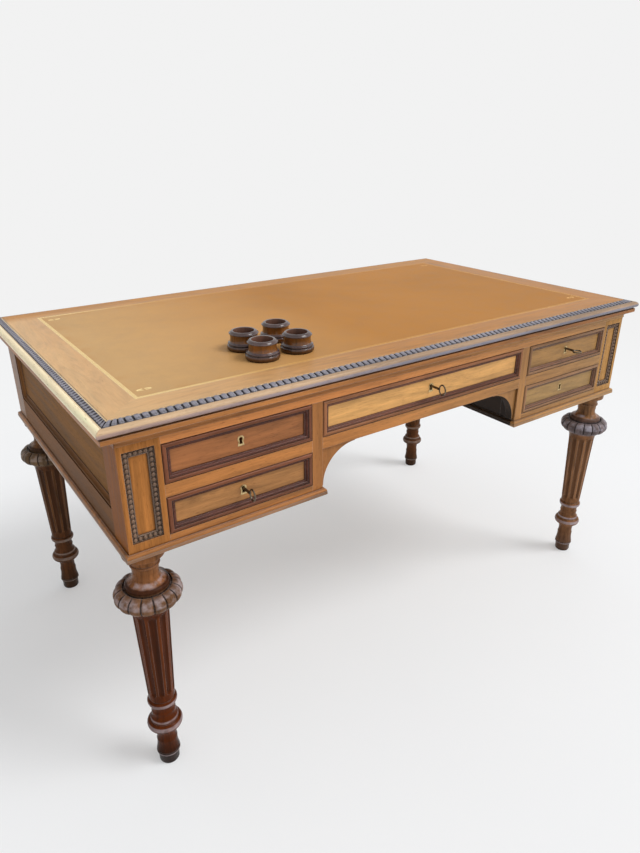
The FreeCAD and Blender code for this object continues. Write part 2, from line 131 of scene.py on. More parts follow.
def along(shader, axis, xyz):
    """Coordinates with the grain along the first one."""
    order = {"X": (0, 1, 2), "Y": (1, 0, 2), "Z": (2, 0, 1)}[axis]
    return shader.add("CombineXYZ", {n: xyz[i] for n, i in enumerate(order)}).outputs[0]


def plan_of(node, first, second):
    """The plan of a mitred frame that fills a node's box: its two axes, its middle and its half sizes."""
    low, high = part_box(node)
    pair = ["XYZ".index(axis) for axis in (first, second)]
    middle = [(low[i] + high[i]) / 2 for i in pair]
    half = [(high[i] - low[i]) / 2 for i in pair]
    return (first, second), middle, half


def mitred(shader, plan, xyz):
    """Grain that follows a mitred frame, the distance from the frame's outer edge, and whether the
    point lies in a strip along the frame's first axis."""
    (first, second), (c0, c1), (h0, h1) = plan
    index = "XYZ".index
    off0 = shader.math("ABSOLUTE", shader.math("SUBTRACT", xyz[index(first)], c0))
    off1 = shader.math("ABSOLUTE", shader.math("SUBTRACT", xyz[index(second)], c1))
    edge0 = shader.math("SUBTRACT", h0, off0)
    edge1 = shader.math("SUBTRACT", h1, off1)
    lengthwise = shader.math("GREATER_THAN", edge0, edge1)
    grain = shader.either(lengthwise, along(shader, second, xyz), along(shader, first, xyz))
    return grain, shader.math("MINIMUM", edge0, edge1), lengthwise


EDGE_RADIUS, CREVICE_REACH, NORMAL_SAMPLES = 0.0014, 0.007, 6
# The cosine between the softened and the true normal where the edge wear and painted highlight start and
# where they are full
EDGE_PALE_START, EDGE_PALE_FULL = 0.995, 0.8
# The open share of the surroundings where the grime and painted shade start and where they are full
GRIME_AND_SHADE_START, GRIME_AND_SHADE_FULL = 0.85, 0.3


def edges(shader):
    """Softened edges: their normal, and how close the point is to an edge."""
    bevel = shader.add("Bevel", {"Radius": EDGE_RADIUS}, samples=NORMAL_SAMPLES).outputs[0]
    normal = shader.add("NewGeometry").outputs["Normal"]
    dot = shader.add("VectorMath", {0: bevel, 1: normal}, operation="DOT_PRODUCT").outputs["Value"]
    return bevel, shader.span(dot, EDGE_PALE_START, EDGE_PALE_FULL)


def crevices(shader):
    """How deep the point sits in a corner or a hollow, from 0 to 1: the share of grime and painted shade.
    """
    values = {"Distance": CREVICE_REACH}
    open_share = shader.add("AmbientOcclusion", values, samples=NORMAL_SAMPLES).outputs["AO"]
    return shader.span(open_share, GRIME_AND_SHADE_START, GRIME_AND_SHADE_FULL)


# Waves per metre along the grain and across it
BROAD_LENGTH, FIBRES, PORES = 1.4, (22, 520, 520), (70, 1150, 1150)
FIGURE_FINENESS, FIGURE_WARP = 5, 1.6
SEED_STEP = (1.7, 0.9, 2.3)


def stripes(shader, grain, stretch, spread, warp, seed):
    """Streaks along the grain: broad figure, fine figure, fibres and pores, each from 0 to 1."""
    moved = shader.vector("ADD", grain, [seed * step for step in SEED_STEP])
    fine = spread * FIGURE_FINENESS
    broad = shader.noise(shader.vector("MULTIPLY", moved, (BROAD_LENGTH, spread, spread)), 1.0, 4.0, 0.6,
                         warp)
    figure = shader.noise(shader.vector("MULTIPLY", moved, (stretch, fine, fine)), 1.0, 5.0, 0.62,
                          warp * FIGURE_WARP)
    fibre = shader.noise(shader.vector("MULTIPLY", moved, FIBRES), 1.0, 3.0, 0.65)
    pores = shader.noise(shader.vector("MULTIPLY", moved, PORES), 1.0, 2.0, 0.5)
    return broad, figure, fibre, shader.span(pores, 0.62, 0.7)


LIGHT_SHARE, TONE_PLACES = 0.6, (0.26, 0.5, 0.72)


def tones(red, green, blue, depth=0.4):
    """The dark, middle and light tone of a wood, from its middle colour on screen."""
    shares = (1 - depth, 1, 1 + depth * LIGHT_SHARE)
    return [srgb(*[min(value * share, 255) for value in (red, green, blue)]) for share in shares]


def toned(shader, tone, three):
    return shader.ramp(tone, list(zip(TONE_PLACES, three)))


# The colour of grime and of painted shade in corners, hollows and grooves
GRIME_AND_SHADE = srgb(30, 17, 10)
WHITE = (1, 1, 1, 1)
# What the streaks add to the tone
BROAD_WEIGHT, FIGURE_WEIGHT, FIBRE_WEIGHT, TONE_SHIFT = 0.5, 0.62, 0.24, -0.2
PORE_DEPTH, PORE_ROUGHNESS, FIBRE_RELIEF, GRAIN_HEIGHT = 0.5, 0.12, 0.4, 0.0004


def wood(name, main, axis="X", plan=None, seed=0.0, stretch=3.0, spread=9.0, warp=0.6, rough=0.36,
         shine=0.2, edge_wear_and_highlight=0.35, grime_and_shade=0.85, field=None, levels=(), tint=None):
    """Polished wood in its main tones. plan turns the grain round a mitred frame, and field gives the
    width of the frame's strips with the grain and tones of what lies inside. levels gives other tones
    from a place along an axis onwards, and tint is a function that changes the colour further."""
    shader = Shader(name)
    _, xyz = shader.place()
    lengthwise = None
    if plan is None:
        grain = along(shader, axis, xyz)
    else:
        grain, edge, lengthwise = mitred(shader, plan, xyz)
    if field is not None:
        width, inner_axis, inner = field
        inside = shader.math("GREATER_THAN", edge, width)
        grain = shader.either(inside, grain, along(shader, inner_axis, xyz))
    broad, figure, fibre, pores = stripes(shader, grain, stretch, spread, warp, seed)
    tone = shader.math("MULTIPLY_ADD", broad, BROAD_WEIGHT, TONE_SHIFT)
    tone = shader.math("MULTIPLY_ADD", figure, FIGURE_WEIGHT, tone)
    tone = shader.math("MULTIPLY_ADD", fibre, FIBRE_WEIGHT, tone)
    colour = toned(shader, tone, main)
    if field is not None:
        colour = shader.mix(inside, colour, toned(shader, tone, inner))
    for level_axis, start, soft, other in levels:
        beyond = shader.span(xyz["XYZ".index(level_axis)], start - soft, start + soft)
        colour = shader.mix(beyond, colour, toned(shader, tone, other))
    if tint is not None:
        colour = tint(shader, xyz, tone, colour, lengthwise)
    colour = shader.mix(shader.math("MULTIPLY", pores, PORE_DEPTH), colour, main[0], "MULTIPLY")
    normal, near = edges(shader)
    # Edge wear and painted highlight: paler edges
    worn = shader.math("MULTIPLY", near, shader.span(broad, 0.35, 0.75, 0.2, edge_wear_and_highlight))
    colour = shader.mix(worn, colour, shader.mix(0.5, colour, WHITE))
    # Grime and painted shade darken corners and hollows
    colour = shader.mix(shader.math("MULTIPLY", crevices(shader), grime_and_shade), colour, GRIME_AND_SHADE)
    height = shader.math("SUBTRACT", shader.math("MULTIPLY", fibre, FIBRE_RELIEF), pores)
    bump = shader.add("Bump", {"Height": height, "Strength": 0.12, "Distance": GRAIN_HEIGHT,
                               "Normal": normal})
    gloss = shader.math("ADD", shader.span(figure, 0.3, 0.7, rough - 0.06, rough + 0.08),
                        shader.math("MULTIPLY", pores, PORE_ROUGHNESS))
    return shader.surface(Base_Color=colour, Roughness=gloss, Normal=bump.outputs[0],
                          Specular_IOR_Level=shine)


def assign(names, material):
    """Gives a material to whole pieces."""
    for name in names:
        data = nodes[name].data
        data.materials.clear()
        data.materials.append(material)


# Woods of the carcass and the drawers
WALNUT = tones(160, 104, 54)
STILE = tones(160, 104, 54, 0.22)
# A lighter copy of the walnut for the frieze: painted light where the top shades it
FRIEZE_LIT = tones(198, 128, 70, 0.32)
BASE = tones(148, 110, 82)
SIDE = tones(118, 80, 47, 0.3)
SIDE_FIELD = tones(130, 89, 45, 0.28)
# Painted shade on the end faces of the posts
POST_END_SHADE = tones(138, 80, 26)
BACK_POST = tones(126, 84, 48)
# Painted shade in the kneehole
KNEEHOLE_SHADE = tones(44, 30, 19)
OAK = tones(184, 146, 100)
FIELD = {"upper_left": tones(150, 95, 55, 0.3), "lower_left": tones(168, 117, 68, 0.34),
         "centre": tones(208, 156, 93, 0.24), "upper_right": tones(154, 115, 67, 0.28),
         "lower_right": tones(163, 128, 79, 0.28)}
# Painted sheen: the wood turns paler and more golden towards the right
GOLDEN_SHEEN = [("X", 0.3, 0.55, tones(172, 131, 80, 0.3))]
TOP_PLAN = plan_of("top_edging", "X", "Y")
BED_PLAN = plan_of("bed_moulding", "X", "Y")
SIDE_PLAN = plan_of("side_panels", "Y", "Z")
SIDE_STRIP = 0.012
# A point this far inside a face still counts as on it
SKIN = 0.0005
KNEE_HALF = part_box("knee_rail")[1].x + SKIN
KNEE_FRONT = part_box("knee_brackets")[0].y + SKIN
POST_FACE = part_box("front_post_right")[1].x - SKIN
BASE_STEP = ("Z", 0.52, 0.0006)


def kneehole_shade(shader, xyz, tone, colour, lengthwise):
    """Painted shade: darker colour on whatever looks into the kneehole."""
    between = shader.math("LESS_THAN", shader.math("ABSOLUTE", xyz[0]), KNEE_HALF)
    inside = shader.math("MULTIPLY", between, shader.math("GREATER_THAN", xyz[1], KNEE_FRONT))
    return shader.mix(inside, colour, toned(shader, tone, KNEEHOLE_SHADE))


def post_end_shade(shader, xyz, tone, colour, lengthwise):
    """Painted shade: darker colour on the faces of the posts at the ends of the desk."""
    end = shader.math("GREATER_THAN", shader.math("ABSOLUTE", xyz[0]), POST_FACE)
    return shader.mix(end, colour, toned(shader, tone, POST_END_SHADE))


def left_end(shader, xyz, lengthwise):
    """Whether the point lies in the strip along the left end of the desk. In the strips along its
    length, lengthwise is 1 and takes every place past zero."""
    return shader.math("LESS_THAN", shader.math("ADD", xyz[0], lengthwise), 0.0)


# Heights between which the bed moulding has a pale painted highlight at the left end
BED_HIGHLIGHT_HEIGHTS = (0.728, 0.732)
BED_HIGHLIGHT = tones(186, 146, 114, 0.2)


def bed_highlight(shader, xyz, tone, colour, lengthwise):
    """A pale painted highlight on the moulding at the left end of the desk."""
    # Where the painted highlight lies
    worn = shader.math("MULTIPLY", left_end(shader, xyz, lengthwise), shader.span(xyz[2], *BED_HIGHLIGHT_HEIGHTS))
    plain = post_end_shade(shader, xyz, tone, colour, lengthwise)
    return shader.mix(worn, plain, toned(shader, tone, BED_HIGHLIGHT))


# The nosing's tones from heights upwards: a grey middle of painted reflection, then a pale upper lip of
# painted highlight
NOSING_LEVELS = [("Z", 0.7505, 0.0008, tones(156, 130, 120, 0.25)),
                 ("Z", 0.7595, 0.0015, tones(194, 163, 128, 0.2))]
# Painted reflection: the nosing turns grey between two places along the desk, above a height, in a lower
# and an upper tone
GREY_PLACES, GREY_FROM, GREY_CHANGE = (-0.68, -0.05), 0.751, (0.758, 0.761)
GREY_LOWER, GREY_UPPER = tones(136, 133, 144, 0.25), tones(164, 135, 108, 0.25)
# It has a cream painted highlight above a height at the left end
CREAM_HIGHLIGHT_FROM, CREAM_HIGHLIGHT = 0.754, tones(255, 236, 194, 0.15)


def nosing_painted_light(shader, xyz, tone, colour, lengthwise):
    """A cream painted highlight along the left end of the nosing, and grey painted reflection towards the
    right.
    """
    # Painted reflection: grey towards the right
    grey = shader.math("MULTIPLY", shader.span(xyz[0], *GREY_PLACES),
                       shader.math("GREATER_THAN", xyz[2], GREY_FROM))
    dull = shader.mix(shader.span(xyz[2], *GREY_CHANGE), toned(shader, tone, GREY_LOWER),
                      toned(shader, tone, GREY_UPPER))
    colour = shader.mix(grey, colour, dull)
    # Where the cream painted highlight lies
    worn = shader.math("MULTIPLY", left_end(shader, xyz, lengthwise),
                       shader.math("GREATER_THAN", xyz[2], CREAM_HIGHLIGHT_FROM))
    return shader.mix(worn, colour, toned(shader, tone, CREAM_HIGHLIGHT))


assign(["frieze_rail"], wood("frieze", FRIEZE_LIT, "X", seed=1, levels=GOLDEN_SHEEN, tint=post_end_shade))
assign(["knee_rail", "drawer_dividers"],
       wood("rails", WALNUT, "X", seed=1, levels=GOLDEN_SHEEN, tint=kneehole_shade))
assign(["inner_stiles", "knee_brackets"],
       wood("stiles", STILE, "Z", seed=2, levels=GOLDEN_SHEEN, tint=kneehole_shade))
assign(["front_post_left", "front_post_right"],
       wood("posts", WALNUT, "Z", seed=3, stretch=2.2, spread=13, shine=0.03, levels=GOLDEN_SHEEN,
            tint=post_end_shade))
assign(["bed_moulding"], wood("bed", WALNUT, plan=BED_PLAN, seed=4, levels=GOLDEN_SHEEN, tint=bed_highlight))
# The kneehole sides are wholly in the tones of the painted shade
assign(["kneehole_sides"], wood("kneehole", KNEEHOLE_SHADE, "Y", seed=5))
assign(["base_mouldings", "pedestal_boards"],
       wood("base", BASE, "X", seed=6, edge_wear_and_highlight=0.6, tint=kneehole_shade,
            levels=[(*BASE_STEP, WALNUT)] + GOLDEN_SHEEN))
assign(["side_rails"], wood("side_rails", SIDE, "Y", seed=7, shine=0.04, rough=0.5))
assign(["side_panels"], wood("side_panels", SIDE, plan=SIDE_PLAN, seed=8, shine=0.03, rough=0.5,
                             field=(SIDE_STRIP, "Y", SIDE_FIELD)))
assign(["back_post_left", "back_post_right"], wood("back_posts", BACK_POST, "Z", seed=3, spread=13))
assign(["back_frame", "back_panels"], wood("back", SIDE, "X", seed=9))
assign(["top_edging"], wood("nosing", WALNUT, plan=TOP_PLAN, seed=10, edge_wear_and_highlight=0.6, levels=NOSING_LEVELS,
                            tint=nosing_painted_light))
assign(["drawer_runners"] + [f"drawer_box_{n}" for n in DRAWERS],
       wood("oak", OAK, "Y", seed=11, rough=0.6, edge_wear_and_highlight=0.1))
for number, name in enumerate(DRAWERS):
    assign([f"drawer_front_{name}"], wood(f"field_{name}", FIELD[name], "X", seed=12 + number * 3,
                                          stretch=4.5, spread=7, warp=1.1))


# Border, leather and metal
BORDER, BORDER_BACK = tones(172, 118, 60, 0.22), tones(176, 122, 60, 0.2)
BORDER_SHEEN = tones(205, 167, 120, 0.16)
# The border has a paler painted sheen towards the left, and is darker at the back
BORDER_SHEEN_PLACES, BORDER_DARKENS = (-0.1, -0.65), (0.3, 0.345)
SWIRLS = (7, 40, 40)


def burr(name):
    """Pale figured veneer of the border round the leather."""
    shader = Shader(name)
    _, xyz = shader.place()
    grain, _, _ = mitred(shader, TOP_PLAN, xyz)
    broad, figure, fibre, pores = stripes(shader, grain, 5.0, 6.0, 1.8, 21)
    swirl = shader.noise(shader.vector("MULTIPLY", grain, SWIRLS), 1.0, 5.0, 0.6, 1.6)
    tone = shader.math("MULTIPLY_ADD", swirl, 0.6, shader.math("MULTIPLY", figure, 0.45))
    # Painted sheen: the border turns paler towards the left
    colour = shader.mix(shader.span(xyz[0], *BORDER_SHEEN_PLACES), toned(shader, tone, BORDER),
                        toned(shader, tone, BORDER_SHEEN))
    colour = shader.mix(shader.span(broad, 0.4, 0.75, 0.0, 0.4), colour, srgb(190, 138, 92))
    colour = shader.mix(shader.span(xyz[1], *BORDER_DARKENS), colour, toned(shader, tone, BORDER_BACK))
    colour = shader.mix(shader.math("MULTIPLY", pores, 0.25), colour, srgb(170, 120, 76), "MULTIPLY")
    normal, near = edges(shader)
    # Painted highlight where the board's edges catch the light
    colour = shader.mix(shader.math("MULTIPLY", near, 0.8), colour, srgb(240, 220, 184))
    bump = shader.add("Bump", {"Height": fibre, "Strength": 0.06, "Distance": 0.0003, "Normal": normal})
    gloss = shader.span(swirl, 0.3, 0.7, 0.3, 0.42)
    return shader.surface(Base_Color=colour, Roughness=gloss, Normal=bump.outputs[0],
                          Specular_IOR_Level=0.08)


# The gold line: its distance from the leather's edge, that of its two rules from its middle, and half
# the width of a rule. Between the rules is a row of lozenges
GOLD_LINE, GOLD_RULE, RULE_HALF = 0.0036, 0.0025, 0.0006
LOZENGE_PITCH, LOZENGE_SLOPE, LOZENGE_HALF = 0.005, 0.004, 0.0019
# Two strokes side by side in each corner: the middle between them, half their distance and half their
# length along the edge, and for their two lines the bend, the distance from the edge and half the width
STROKES_MIDDLE, STROKES_APART, STROKE_LENGTH = 0.029, 0.0075, 0.0055
STROKE_LINES = ((14.0, 0.039, 0.0018), (-9.0, 0.0325, 0.0011))
# Places along the desk between which the lozenges, the paler gold of a painted sheen and the leather's
# painted sheen start
LOZENGES_START, PALE_GOLD_START, LEATHER_SHEEN_PLACES = (-0.25, -0.5), (-0.3, -0.55), (-0.05, -0.6)
# Places across the desk between which the gold, rubbed at the back, comes back to strength
GOLD_RUBBED = (0.3, 0.1)
GOLD, PALE_GOLD = srgb(240, 190, 112), srgb(248, 222, 158)
LEATHER, LEATHER_SHEEN = tones(182, 126, 62, 0.1), tones(200, 162, 112, 0.1)
GRAIN_CELLS, CREASES = 620.0, 900.0
# Distances from the edge between which the leather is worn
LEATHER_WORN = (0.05, 0.008)


def gold_tooling(shader, xyz, end, side):
    """Where the leather is gilded, from the distances to its ends and its long sides."""
    step = shader.math("MULTIPLY", shader.math("ADD", xyz[0], xyz[1]), 1 / LOZENGE_PITCH)
    wave = shader.math("ABSOLUTE", shader.math("SUBTRACT", shader.math("FRACT", step), 0.5))
    edge = shader.math("MINIMUM", end, side)
    centre = shader.math("ABSOLUTE", shader.math("SUBTRACT", edge, GOLD_LINE))
    shape = shader.math("MULTIPLY_ADD", wave, LOZENGE_SLOPE, centre)
    lozenge = shader.math("MULTIPLY", shader.math("LESS_THAN", shape, LOZENGE_HALF),
                          shader.span(xyz[0], *LOZENGES_START))
    rules = shader.math("COMPARE", centre, GOLD_RULE, RULE_HALF)
    local = shader.math("ABSOLUTE", shader.math("SUBTRACT", end, STROKES_MIDDLE))
    square = shader.math("MULTIPLY", local, local)
    strokes = 0.0
    for bend, distance, half in STROKE_LINES:
        line = shader.math("COMPARE", shader.math("MULTIPLY_ADD", square, bend, side), distance, half)
        strokes = shader.math("MAXIMUM", strokes, line)
    strokes = shader.math("MULTIPLY", strokes,
                          shader.math("COMPARE", local, STROKES_APART, STROKE_LENGTH))
    return shader.math("MAXIMUM", shader.math("MAXIMUM", lozenge, rules), strokes)


def leather(name):
    """Tan leather with a gold-tooled line at its edge and a small flourish in each corner."""
    shader = Shader(name)
    place, xyz = shader.place()
    _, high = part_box("leather_top")
    end = shader.math("SUBTRACT", high.x, shader.math("ABSOLUTE", xyz[0]))
    side = shader.math("SUBTRACT", high.y, shader.math("ABSOLUTE", xyz[1]))
    cloud = shader.noise(place, 2.2, 3.0, 0.5, 0.3)
    blotch = shader.noise(place, 26.0, 4.0, 0.6)
    cells = shader.add("TexVoronoi", {"Vector": place, "Scale": GRAIN_CELLS, "Randomness": 1.0},
                       feature="DISTANCE_TO_EDGE").outputs["Distance"]
    creases = shader.noise(place, CREASES, 3.0, 0.6)
    tone = shader.math("MULTIPLY_ADD", blotch, 0.3, shader.math("MULTIPLY", cloud, 0.7))
    # Painted sheen: the leather turns paler towards the left
    colour = shader.mix(shader.span(xyz[0], *LEATHER_SHEEN_PLACES), toned(shader, tone, LEATHER),
                        toned(shader, tone, LEATHER_SHEEN))
    colour = shader.mix(shader.span(cells, 0.08, 0.0, 0.0, 0.18), colour, srgb(150, 100, 58))
    worn = shader.math("MULTIPLY", shader.span(shader.math("MINIMUM", end, side), *LEATHER_WORN),
                       shader.span(blotch, 0.4, 0.65))
    colour = shader.mix(shader.math("MULTIPLY", worn, 0.3), colour, srgb(168, 116, 66))
    # The gold is whole at the left, where a painted sheen makes it paler, and rubbed towards the back
    # elsewhere
    left = shader.span(xyz[0], *PALE_GOLD_START)
    kept = shader.math("MAXIMUM", left, shader.span(xyz[1], *GOLD_RUBBED, 0.5, 0.95))
    kept = shader.math("MULTIPLY", kept, shader.span(blotch, 0.3, 0.45, 0.72, 1.0))
    gold = shader.math("MULTIPLY", gold_tooling(shader, xyz, end, side), kept)
    colour = shader.mix(gold, colour, shader.mix(left, GOLD, PALE_GOLD))
    height = shader.math("MULTIPLY_ADD", creases, 0.35, shader.math("MINIMUM", cells, 0.16))
    height = shader.math("SUBTRACT", height, shader.math("MULTIPLY", gold, 0.3))
    bump = shader.add("Bump", {"Height": height, "Strength": 0.22, "Distance": 0.0006})
    gloss = shader.math("MULTIPLY_ADD", gold, -0.1, shader.span(blotch, 0.3, 0.7, 0.42, 0.52))
    return shader.surface(Base_Color=colour, Roughness=gloss, Normal=bump.outputs[0],
                          Metallic=shader.math("MULTIPLY", gold, 0.25), Specular_IOR_Level=0.04)


TARNISH, SCRATCHES = 160.0, (300, 2400, 900)


def metal(name, bright, dull, rough):
    """Old metal with tarnish and fine scratches."""
    shader = Shader(name)
    place, _ = shader.place()
    tarnish = shader.noise(place, TARNISH, 4.0, 0.6, 0.5)
    scratch = shader.noise(shader.vector("MULTIPLY", place, SCRATCHES), 1.0, 2.0, 0.5)
    colour = shader.mix(shader.span(tarnish, 0.4, 0.7), bright, dull)
    bump = shader.add("Bump", {"Height": scratch, "Strength": 0.1, "Distance": 0.0002})
    gloss = shader.span(tarnish, 0.35, 0.7, rough, rough + 0.25)
    return shader.surface(Base_Color=colour, Roughness=gloss, Normal=bump.outputs[0], Metallic=1.0)


assign(["top_board"], burr("border"))
assign(["leather_top"], leather("leather"))
assign([f"lock_{n}" for n in DRAWERS], metal("brass", srgb(214, 190, 140), srgb(150, 118, 72), 0.3))
assign([f"key_{n}" for n in KEYS] + [f"bolt_{n}" for n in DRAWERS],
       metal("steel", srgb(120, 108, 92), srgb(52, 44, 36), 0.34))


# Mesh helpers
SHARP_ANGLE = math.radians(38.0)
# Sizes below which a turn in an outline counts as straight and a radius as none
STRAIGHT, NO_RADIUS = 1e-9, 1e-6


def piece(name, points, faces, material, body, stands_for):
    """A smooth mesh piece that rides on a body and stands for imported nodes."""
    mesh = bpy.data.meshes.new(name)
    mesh.from_pydata(points, [], faces)
    work = bmesh.new()
    work.from_mesh(mesh)
    bmesh.ops.recalc_face_normals(work, faces=work.faces)
    work.to_mesh(mesh)
    work.free()
    mesh.materials.append(material)
    made = bpy.data.objects.new(name, mesh)
    scene.collection.objects.link(made)
    mesh.polygons.foreach_set("use_smooth", [True] * len(mesh.polygons))
    mesh.set_sharp_from_angle(angle=SHARP_ANGLE)
    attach(made, body)
    if stands_for:
        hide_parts(*stands_for)
    return made


def polyline(shares, radius, height, step):
    """An outline of lines and arcs as close points, from rows of two shares and a bulge. An arc rises
    to the right of its chord, by its bulge times the chord."""
    points = []
    rows = [(a * radius, b * height, bulge) for a, b, bulge in shares]
    for (a, b, bulge), (c, d, _) in zip(rows, rows[1:]):
        count = max(1, math.ceil(math.hypot(c - a, d - b) * (1 + abs(bulge)) / step))
        sweep = 4 * math.atan(2 * bulge)
        for number in range(count):
            reach, rise = number / count, 0.0
            if bulge:
                angle = sweep * (reach - 0.5)
                size = 0.5 / math.sin(sweep / 2)
                reach = 0.5 + size * math.sin(angle)
                rise = size * (math.cos(angle) - math.cos(sweep / 2))
            points.append((a + (c - a) * reach + (d - b) * rise, b + (d - b) * reach - (c - a) * rise))
    points.append(rows[-1][:2])
    return points


def thinned(outline, whole=()):
    """An outline without the points on its straight runs, apart from the stretches of height in whole."""
    kept = outline[:1]
    for (r, z), (after_r, after_z) in zip(outline[1:], outline[2:]):
        before_r, before_z = kept[-1]
        off = (r - before_r) * (after_z - before_z) - (z - before_z) * (after_r - before_r)
        if abs(off) > STRAIGHT or any(low < z < high for low, high in whole):
            kept.append((r, z))
    return kept + outline[-1:]


def lathe(outline, segments, shape, centre):
    """Points and faces of a turned piece. shape gives the radius and height at r, z and an angle."""
    points, faces = [], []
    rings = []
    for r, z in outline:
        if r < NO_RADIUS:
            rings.append([len(points)])
            points.append((centre[0], centre[1], centre[2] + z))
            continue
        start = len(points)
        for number in range(segments):
            angle = 2 * math.pi * number / segments
            rr, zz = shape(r, z, angle)
            x, y = centre[0] + rr * math.cos(angle), centre[1] + rr * math.sin(angle)
            points.append((x, y, centre[2] + zz))
        rings.append(list(range(start, start + segments)))
    for low, high in zip(rings, rings[1:]):
        for number in range(segments):
            after = (number + 1) % segments
            if len(low) == 1:
                faces.append((low[0], high[after], high[number]))
            elif len(high) == 1:
                faces.append((low[number], low[after], high[0]))
            else:
                faces.append((low[number], low[after], high[after], high[number]))
    return points, faces


def loft(sections, ring):
    """Points and faces through closed sections of as many points each. A ring joins the last section
    to the first, and an open loft is capped at both ends."""
    size = len(sections[0])
    points = [point for section in sections for point in section]
    faces = []
    for number in range(len(sections) if ring else len(sections) - 1):
        a, b = number * size, (number + 1) % len(sections) * size
        for i in range(size):
            j = (i + 1) % size
            faces.append((a + i, a + j, b + j, b + i))
    if not ring:
        faces.append(tuple(range(size)))
        faces.append(tuple(range(len(points) - size, len(points))))
    return points, faces


def join(points, faces, more_points, more_faces):
    """Adds points and faces to the lists of a piece."""
    shift = len(points)
    points += more_points
    faces += [tuple(i + shift for i in face) for face in more_faces]


def wall_frame(low, high, width, height, shares, step):
    """A mitred frame on the desk's front, inside two corners. The outline runs inwards from its edge."""
    outline = polyline(shares, width, height, step)
    sections = []
    for right, up in ((0, 0), (1, 0), (1, 1), (0, 1)):
        sections.append([
            ((high.x - d if right else low.x + d), high.y - h, (high.z - d if up else low.z + d))
            for d, h in outline
        ])
    return loft(sections, True)


# Legs
LEG_RADIUS, LEG_HEIGHT, LEG_STEP, LEG_SEGMENTS = 0.062, 0.514, 0.0022, 320
LEG_SHARES = (
    (0, 0, 0), (0.298, 0, 0), (0.322, 0.006, 0), (0.33, 0.043, 0), (0.344, 0.046, 0.4),
    (0.344, 0.056, 0), (0.368, 0.061, -0.04), (0.327, 0.117, -0.1), (0.387, 0.18, 0.433),
    (0.435, 0.22, 0), (0.435, 0.232, 0), (0.411, 0.235, -0.12), (0.377, 0.265, -0.1),
    (0.387, 0.297, 0.3), (0.387, 0.328, 0), (0.411, 0.333, 0), (0.408, 0.339, 0),
    (0.532, 0.724, 0), (0.556, 0.746, 0), (0.597, 0.761, 0),
    (0.693, 0.778, 0.5), (0.742, 0.844, 0), (0.71, 0.844, 0),
    (0.702, 0.837, 0), (0.645, 0.837, 0), (0.637, 0.85, 0.2), (0.565, 0.862, 0),
    (0.558, 0.863, -0.2), (0.384, 0.907, 0), (0.384, 0.922, 0), (0.395, 0.928, 0.45),
    (0.395, 0.939, 0), (0.4, 0.942, -0.2), (0.605, 0.972, 0), (0.613, 0.977, 0), (0.613, 1, 0),
    (0, 1, 0),
)
FLUTES, FLUTE_SHARE, FLUTE_DEPTH, FLUTE_ROUND = 10, 0.68, 0.0036, 0.7
FLUTE_LOW, FLUTE_HIGH = 0.1902, 0.374
# Heights beyond and before the two round ends of the flutes, which need all their points
END_BEYOND, END_BEFORE = 0.01, 0.003
FLUTE_ENDS = ((FLUTE_LOW - END_BEYOND, FLUTE_LOW + END_BEFORE),
              (FLUTE_HIGH - END_BEFORE, FLUTE_HIGH + END_BEYOND))
# The large ring is a round tube, cut into lobes with a narrow crease between them
RING_R, RING_Z, RING_SIZE, RING_SKIN = 0.0445, 0.417, 0.0171, 0.0008
GADROONS, GADROON_DEPTH, CREASE_SHARE = 16, 0.0034, 0.16
LOBES_START, LOBES_FADE = 0.001, 0.006


def leg_shape(r, z, angle):
    """Flutes in the shaft and rounded lobes on the large ring."""
    half = FLUTE_SHARE * math.pi * r / FLUTES
    beyond = max(FLUTE_LOW - z, z - FLUTE_HIGH, 0)
    if beyond < half and r < RING_R:
        turn = angle * FLUTES / (2 * math.pi)
        off = math.hypot((turn - round(turn)) * 2 * math.pi * r / FLUTES, beyond) / half
        r -= FLUTE_DEPTH * max(0.0, 1 - off ** 2) ** FLUTE_ROUND
    out, up = r - RING_R, z - RING_Z
    if abs(math.hypot(out, up) - RING_SIZE) < RING_SKIN and out > -LOBES_START:
        turn = angle * GADROONS / (2 * math.pi) + 0.5
        lobe = abs(turn - round(turn)) * 2
        crease = max(0.0, 1 - lobe / CREASE_SHARE)
        fade = min(1.0, max(0.0, (out + LOBES_START) / LOBES_FADE))
        dip = GADROON_DEPTH * (0.5 * (1 - lobe) ** 2 + 0.5 * crease) * fade
        scale = 1 - dip / RING_SIZE
        r, z = RING_R + out * scale, RING_Z + up * scale
    return r, z


# Heights on a leg where its parts start, and how softly their tones do
SHAFT_START, RING_START = (0.05, 0.03), (0.395, 0.003)
COLLAR_START, NECK_START = (0.4355, 0.0012), (0.4438, 0.0008)
# Heights between which the flutes hold dirt and painted shade, the grooves are dark with dirt and painted
# shade, and the rings carry painted highlights, each with how softly that fades
FLUTED, GROOVED = (FLUTE_LOW, FLUTE_HIGH, 0.008), (0.4005, 0.433, 0.001)
GLINT_HEIGHTS = ((0.42, 0.43, 0.004), (0.4455, 0.449, 0.003))
HIGHLIGHT_BANDS = ((0.0255, 0.0265), (0.1025, 0.1085), (0.1165, 0.1195), (0.157, 0.163))
BAND_FADE = 0.0015
GLINT_PATCHES = 55.0


